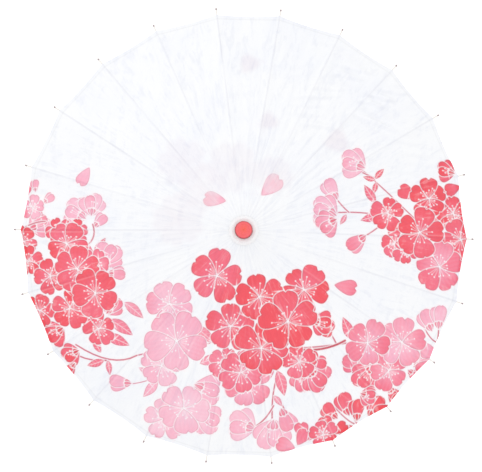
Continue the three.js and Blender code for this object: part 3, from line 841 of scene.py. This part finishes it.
def drag_folds(x, y):
    """Height of the broken folds that slant across one patch of the canopy."""
    cos, sin = math.cos(PICTURE_UP), math.sin(PICTURE_UP)
    right, top = x * sin - y * cos, x * cos + y * sin
    away = ((right - DRAG_PLACE[0]) / DRAG_REACH[0]) ** 2 + ((top - DRAG_PLACE[1]) / DRAG_REACH[1]) ** 2
    broken = smooth(np.sin(right / 0.019 + 2.5 * np.sin(top / 0.027)), -0.4, 0.9)
    height = 0
    for tilt, wave in ((-0.22, 0.017), (-0.35, 0.026)):
        across = top * math.cos(tilt) - right * math.sin(tilt)
        height += np.sin(across * TAU / wave + 2.0 * np.sin(right / 0.035))
    return DRAG_FOLDS * np.exp(-away) * broken * height


def paper_points(along, chord_at, angle, side, skin):
    """Points of the paper on a half panel. skin is 1 for the upper face and 0 for the lower."""
    share = (along - PAPER_START) / (PAPER_END - PAPER_START)
    radius, _ = on_rib(along, PAPER_LIFT)
    part = chord_at(radius) / (radius * HALF_SIN)
    droop = part * (2 - part)
    run = along - RIM_SCALLOP * share**3 * droop
    lift = PAPER_LIFT - SAG * share * droop
    smoothed = half_panel(run, lift, chord_at, angle, side)
    chord = chord_at(on_rib(run, lift)[0])
    lift = lift + wrinkles(smoothed[:, 0], smoothed[:, 1]) * smooth(chord, 2 * MM, 9 * MM)
    hem = HEM_THICKNESS * smooth(along, PAPER_END - HEM_WIDTH, PAPER_END - 0.7 * HEM_WIDTH)
    ridge = RIDGE * (1 - smooth(chord, 0.6 * MM, 3.2 * MM)) * smooth(along, 0.04, 0.2)
    lift = lift + skin * (PAPER_THICKNESS + hem) + ridge
    return half_panel(run, lift, chord_at, angle, side)


def shell(rows):
    """Faces of a closed sheet. rows holds the number of cells across it at each station down the rib. Where
    the number doubles, a cell has one more corner. The lower face's points follow all the upper ones."""
    starts = np.concatenate([[0], np.cumsum([count + 1 for count in rows])])
    total = int(starts[-1])
    top = []
    for row in range(len(rows) - 1):
        here, there, count = int(starts[row]), int(starts[row + 1]), rows[row]
        double = rows[row + 1] // count
        for column in range(count):
            first = there + column * double
            outer = [first + step for step in range(double + 1)]
            top.append((here + column, *outer, here + column + 1))
    inner = [int(starts[0]) + column for column in range(rows[0] + 1)]
    far = [int(starts[row]) + rows[row] for row in range(1, len(rows))]
    outer = [int(starts[-2]) + column for column in reversed(range(rows[-1]))]
    near = [int(starts[row]) for row in reversed(range(1, len(rows) - 1))]
    loop = inner + far + outer + near
    bottom = [tuple(total + corner for corner in reversed(face)) for face in top]
    wall = [(b, a, a + total, b + total) for a, b in zip(loop, loop[1:] + loop[:1])]
    return top + bottom + wall


def canopy_stations():
    """Stations down the rib, and the number of cells across a half panel at each."""
    along = np.linspace(PAPER_START, PAPER_END, int((PAPER_END - PAPER_START) / CELL))
    width = (PIVOT_RADIUS + along * math.cos(LEAN)) * HALF_SIN
    cells = np.full(len(along), RIM_COLUMNS)
    for halving in (1, 2):
        cells[width < width[-1] / 2**halving] = RIM_COLUMNS // 2**halving
    return along, [int(count) for count in cells]


def build_canopy(material):
    """The paper: for each rib a strip that is glued to it, and a wing on each side to midway to the next
    rib."""
    along, cells = canopy_stations()
    strip_chord = np.tile(np.linspace(-SEAM, SEAM, STRIP_COLUMNS + 1), len(along)) / HALF_COS
    strip_along, strip_faces = np.repeat(along, STRIP_COLUMNS + 1), shell([STRIP_COLUMNS] * len(along))
    wing_share = np.concatenate([np.linspace(0, 1, count + 1) for count in cells])
    wing_along, wing_faces = np.repeat(along, np.array(cells) + 1), shell(cells)
    flipped = [tuple(reversed(face)) for face in wing_faces]
    seam_chord = SEAM / HALF_COS

    def strip_reach(radius):
        return np.abs(strip_chord)

    def wing_reach(radius):
        return seam_chord + wing_share * (radius * HALF_SIN - seam_chord)

    made = []
    for rib in range(RIBS):
        name, side = f"paper_strip_{rib + 1:02d}", np.sign(strip_chord)
        made.append(paper_piece(name, strip_along, strip_reach, rib, side, strip_faces, material))
        for side, letter in HALVES:
            name, faces = f"paper_wing_{rib + 1:02d}{letter}", flipped if side > 0 else wing_faces
            made.append(paper_piece(name, wing_along, wing_reach, rib, side, faces, material))
            fold_up(made[-1])
    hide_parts("canopy")
    colour_canopy(made)


def paper_piece(name, along, chord_at, rib, side, faces, material):
    """A piece of the canopy, upper and lower face, that rides on a rib."""
    skins = [paper_points(along, chord_at, rib * PITCH, side, skin) for skin in (1, 0)]
    return piece(name, np.concatenate(skins), faces, material, f"rib_{rib + 1:02d}")


def colour_canopy(pieces):
    """Writes the print's colours, with their painted shade and shadow, on the paper's points. The lower face
    shows it paler.
    """
    places = []
    for made in pieces:
        points = np.empty(len(made.data.vertices) * 3)
        made.data.vertices.foreach_get("co", points)
        places.append(points.reshape(-1, 3))
    x, y, _ = np.concatenate(places).T
    ends = np.cumsum([len(points) for points in places])
    for made, colour in zip(pieces, np.split(print_with_painted_shade(x, y), ends[:-1])):
        count = len(colour)
        colour[count // 2:] += (PAPER_WHITE - colour[count // 2:]) * (1 - SHOW_THROUGH)
        layer = made.data.color_attributes.new("print", "FLOAT_COLOR", "POINT")
        layer.data.foreach_set("color", np.concatenate([colour, np.ones((count, 1))], 1).ravel())


# ---- Threads ----

def cord(name, line, radius, material, body, sides=10):
    """A thread along a line of points, closed at both ends."""
    line = np.array(line)
    ways = np.gradient(line, axis=0)
    ways /= np.linalg.norm(ways, axis=1)[:, None]
    asides = np.cross(ways, (0, 0, 1.0))
    asides /= np.linalg.norm(asides, axis=1)[:, None]
    aboves = np.cross(asides, ways)
    turns = np.arange(sides) * TAU / sides
    ring = np.cos(turns)[None, :, None] * asides[:, None] + np.sin(turns)[None, :, None] * aboves[:, None]
    points = (line[:, None] + radius * ring).reshape(-1, 3)
    return piece(name, points, tube_faces(len(line), sides), material, body)


def thread_ring(node, along, lift, droop, inset, radius, material):
    """A ring of thread through the ribs, in two runs a rib, each to midway to the next rib. It droops
    between the ribs."""
    share = np.linspace(0, 1, 13)
    sag = share * (2 - share)

    def reach(radius):
        return share * radius * HALF_SIN

    made = []
    for rib in range(RIBS):
        angle = rib * PITCH
        for side, letter in HALVES:
            line = half_panel(along - inset * sag, lift - droop * sag, reach, angle, side)
            name = f"{node}_{rib + 1:02d}{letter}"
            made.append(cord(name, line, radius, material, f"rib_{rib + 1:02d}"))
            fold_up(made[-1])
    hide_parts(node)


def squarish(value):
    """A sine or cosine, changed so that a circle drawn with it is nearly square."""
    return np.sign(value) * np.abs(value) ** 0.7


def tip_bindings(material):
    """Dark thread wound round each rib's tip."""
    steps, sides = 25, 16
    faces = [tuple(reversed(face)) for face in tube_faces(steps, sides)]
    share = np.linspace(0, 1, steps)[:, None]
    turn = TAU * np.arange(sides) / sides
    size = BINDING_RADIUS + BINDING_THREAD * np.abs(np.sin(math.pi * BINDING_TURNS * share)) ** 0.6
    run = RIB_LENGTH + (share - 1.5) * BINDING_LENGTH
    out, height = on_rib(run, BINDING_LIFT + size * squarish(np.sin(turn)))
    across = size * squarish(np.cos(turn))
    for rib in range(RIBS):
        points = turned(out, across, height, rib * PITCH).reshape(-1, 3)
        made = piece(f"tip_binding_{rib + 1:02d}", points, faces, material, f"rib_{rib + 1:02d}")


# ---- Turned pieces ----

def stand_in(made, node):
    """The piece is shown in place of a CAD node, which is hidden."""
    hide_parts(node)


def build_finial(material, body):
    """The red cap: a low turned disc with a soft edge, a fine groove and a dimple."""
    bottom, top = (corner.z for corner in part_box("finial"))
    bore, socket, groove, dimple = 6 * MM, 7 * MM, 8.8 * MM, 3.2 * MM
    profile = [(CORE, bottom + socket), (bore, bottom + socket), (bore, bottom), (FINIAL_RADIUS, bottom)]
    for turn in np.linspace(0, math.pi / 2, 9):
        in_from_edge, down = FINIAL_EDGE * (1 - math.cos(turn)), FINIAL_EDGE * (1 - math.sin(turn))
        profile.append((FINIAL_RADIUS - in_from_edge, top - down))
    for aside, depth in ((0.4 * MM, 0.02 * MM), (0, 0.3 * MM), (-0.4 * MM, 0.02 * MM)):
        profile.append((groove + aside, top - depth))
    profile += [(dimple, top - 0.05 * MM), (dimple / 2, top - 0.5 * MM), (CORE, top - 0.6 * MM)]
    stand_in(lathe("finial_cap", profile, material, body), "finial")


def build_collar(material, body):
    """The paper hood over the hub: it lies in small pleats where it flares over the ribs."""
    low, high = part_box("top_cap")
    skin = 0.8 * MM
    inner, wall = FINIAL_RADIUS + 0.35 * MM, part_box("top_hub")[1].x + 0.3 * MM
    hem, foot = high.x + 1.6 * MM, low.z - 0.7 * MM
    crown, bend = high.z - skin, low.z + 3.3 * MM
    profile = [(inner, crown), (wall, crown), (wall, bend), (hem, foot), (hem, foot + skin),
               (wall + skin, bend + skin), (wall + skin, high.z), (inner, high.z)]

    def pleats(angle, radius, height):
        pleat = 0.5 * MM * np.cos(RIBS * angle) * smooth(radius, wall + skin, hem)
        return pleat + 0.08 * MM * np.sin(9 * angle + 2) * smooth(radius, wall, hem)

    made = lathe("paper_collar", rounded(profile, 0.5 * MM), material, body, 264, pleats)
    stand_in(made, "top_cap")


def build_grip(material, body):
    """The turned grip: a swelling between two beads, with three fine lines cut below the upper bead."""
    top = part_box("handle_grip")[1].z
    bore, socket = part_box("shaft")[1].x + 0.25 * MM, 12 * MM
    base, foot, groove, bead, collar, mouth = np.array([10, 11.5, 10.4, 11, 9.5, 8.4]) * MM
    profile = [(CORE, 0), (base, 0), (foot, 1.5 * MM), (foot, 7 * MM), (groove, 8.7 * MM)]
    for height in np.linspace(10.5, 83.5, 147) * MM:
        swelling = 11.8 * MM - 1.8 * MM * ((height - 32 * MM) / (52 * MM)) ** 2
        lines = sum(math.exp(-((height - line * MM) / (0.45 * MM)) ** 2) for line in (73, 75.5, 78))
        profile.append((swelling - 0.3 * MM * lines, height))
    profile += [(base, 84.5 * MM), (bead, 87 * MM), (bead, 91 * MM), (collar, 95 * MM)]
    profile += [(mouth, top), (bore, top), (bore, socket), (CORE, socket)]
    made = lathe("turned_grip", rounded(profile, 0.9 * MM), material, body)
    stand_in(made, "handle_grip")


def dress(node, material, edge=0.25 * MM):
    """A CAD node gets its material and lightly worn edges."""
    shown = frame["nodes"][node]
    for slot in shown.material_slots:
        slot.material = material
    weld = shown.modifiers.new("weld", "WELD")
    weld.merge_threshold = 0.002 * MM
    soft = shown.modifiers.new("edges", "BEVEL")
    soft.width = edge
    soft.segments = 2
    soft.limit_method = "ANGLE"
    soft.angle_limit = math.radians(35)
    shown.modifiers.new("shading", "WEIGHTED_NORMAL").keep_sharp = True


# ---- Stage ----

def build_floor():
    """A plain floor, just under the grip."""
    mesh = bpy.data.meshes.new("floor")
    far = 30
    corners = [(x * far, y * far, 0) for x, y in ((-1, -1), (1, -1), (1, 1), (-1, 1))]
    mesh.from_pydata(corners, [], [(0, 1, 2, 3)])
    mesh.materials.append(floor_material())
    floor = bpy.data.objects.new("floor", mesh)
    floor.location.z = CAD_BOX[0].z - 0.5 * MM
    bpy.context.scene.collection.objects.link(floor)


def build_sky():
    """Even white light from all round, a little dimmer where the camera sees it."""
    world = bpy.data.worlds.new("studio")
    bpy.context.scene.world = world
    world.use_nodes = True
    tree = world.node_tree
    backdrop = tree.nodes["Background"]
    backdrop.inputs["Color"].default_value = (*WHITE, 1)
    seen = tree.nodes.new("ShaderNodeLightPath").outputs["Is Camera Ray"]
    strength = tree.nodes.new("ShaderNodeMapRange")
    strength.inputs["To Min"].default_value = SKY_LIGHT
    strength.inputs["To Max"].default_value = SKY_SEEN
    tree.links.new(seen, strength.inputs["Value"])
    tree.links.new(strength.outputs[0], backdrop.inputs["Strength"])


def add_lamp(name, way, height, size, power, target):
    """A soft square lamp, way giving its direction on the plan."""
    data = bpy.data.lights.new(name, "AREA")
    data.energy, data.size = power, size
    lamp = bpy.data.objects.new(name, data)
    lamp.location = (LAMP_DISTANCE * math.cos(way), LAMP_DISTANCE * math.sin(way), height)
    lamp.rotation_euler = (target - lamp.location).to_track_quat("-Z", "Y").to_euler()
    bpy.context.scene.collection.objects.link(lamp)


def add_camera():
    """The camera, aimed at the middle of the ring of rib tips."""
    rim = Vector((0, 0, HUB_Z - RIB_LENGTH * math.sin(LEAN)))
    up = Vector((math.cos(PICTURE_UP), math.sin(PICTURE_UP), 0))
    back = (Vector((0, 0, math.cos(CAMERA_TILT))) - up * math.sin(CAMERA_TILT)).normalized()
    right = up.cross(back).normalized()
    data = bpy.data.cameras.new("camera")
    data.lens = CAMERA_LENS
    data.shift_x, data.shift_y = CAMERA_SHIFT
    camera = bpy.data.objects.new("camera", data)
    turn = Matrix((right, back.cross(right), back)).transposed().to_4x4()
    camera.matrix_world = Matrix.Translation(rim + back * CAMERA_DISTANCE) @ turn
    bpy.context.scene.collection.objects.link(camera)
    bpy.context.scene.camera = camera


# ---- Assembly ----
MAIN = "shaft_assembly"
paper = paper_material()
bamboo = bamboo_material()
wood = wood_material()
white_paper = collar_material()
thread = thread_material("thread", srgb(0.93, 0.90, 0.84), srgb(0.78, 0.73, 0.64))
binding = thread_material("binding", srgb(0.74, 0.68, 0.69), srgb(0.56, 0.50, 0.51))
steel = steel_material()

build_canopy(paper)
build_finial(lacquer_material(), MAIN)
build_collar(white_paper, MAIN)
edge_lift = PAPER_LIFT - 0.35 * MM
thread_ring("edge_thread", PAPER_END - MM, edge_lift, SAG, RIM_SCALLOP, EDGE_THREAD_RADIUS, thread)
thread_ring("joint_thread", ARM, 0, JOINT_THREAD_DROOP, 0, JOINT_THREAD_RADIUS, thread)
tip_bindings(binding)
for number in range(1, RIBS + 1):
    dress(f"rib_{number:02d}", bamboo)
    dress(f"stretcher_{number:02d}", bamboo)
build_grip(wood, MAIN)
for node in ("shaft", "top_hub", "runner"):
    dress(node, wood)
for node in ("hub_pin", "catch_pin", "catch"):
    dress(node, steel, 0.1 * MM)
for node in ("hub_thread", "runner_thread"):
    dress(node, thread, 0.05 * MM)

build_floor()
build_sky()
middle = Vector((0, 0, HUB_Z))
add_lamp("key", PICTURE_LEFT - math.pi * 0.3, height=1.8, size=1.0, power=3.2, target=middle)
add_lamp("fill", PICTURE_LEFT + math.pi * 0.8, height=2.0, size=2.0, power=2.2, target=middle)
add_camera()
bpy.context.scene.view_settings.view_transform = "Standard"
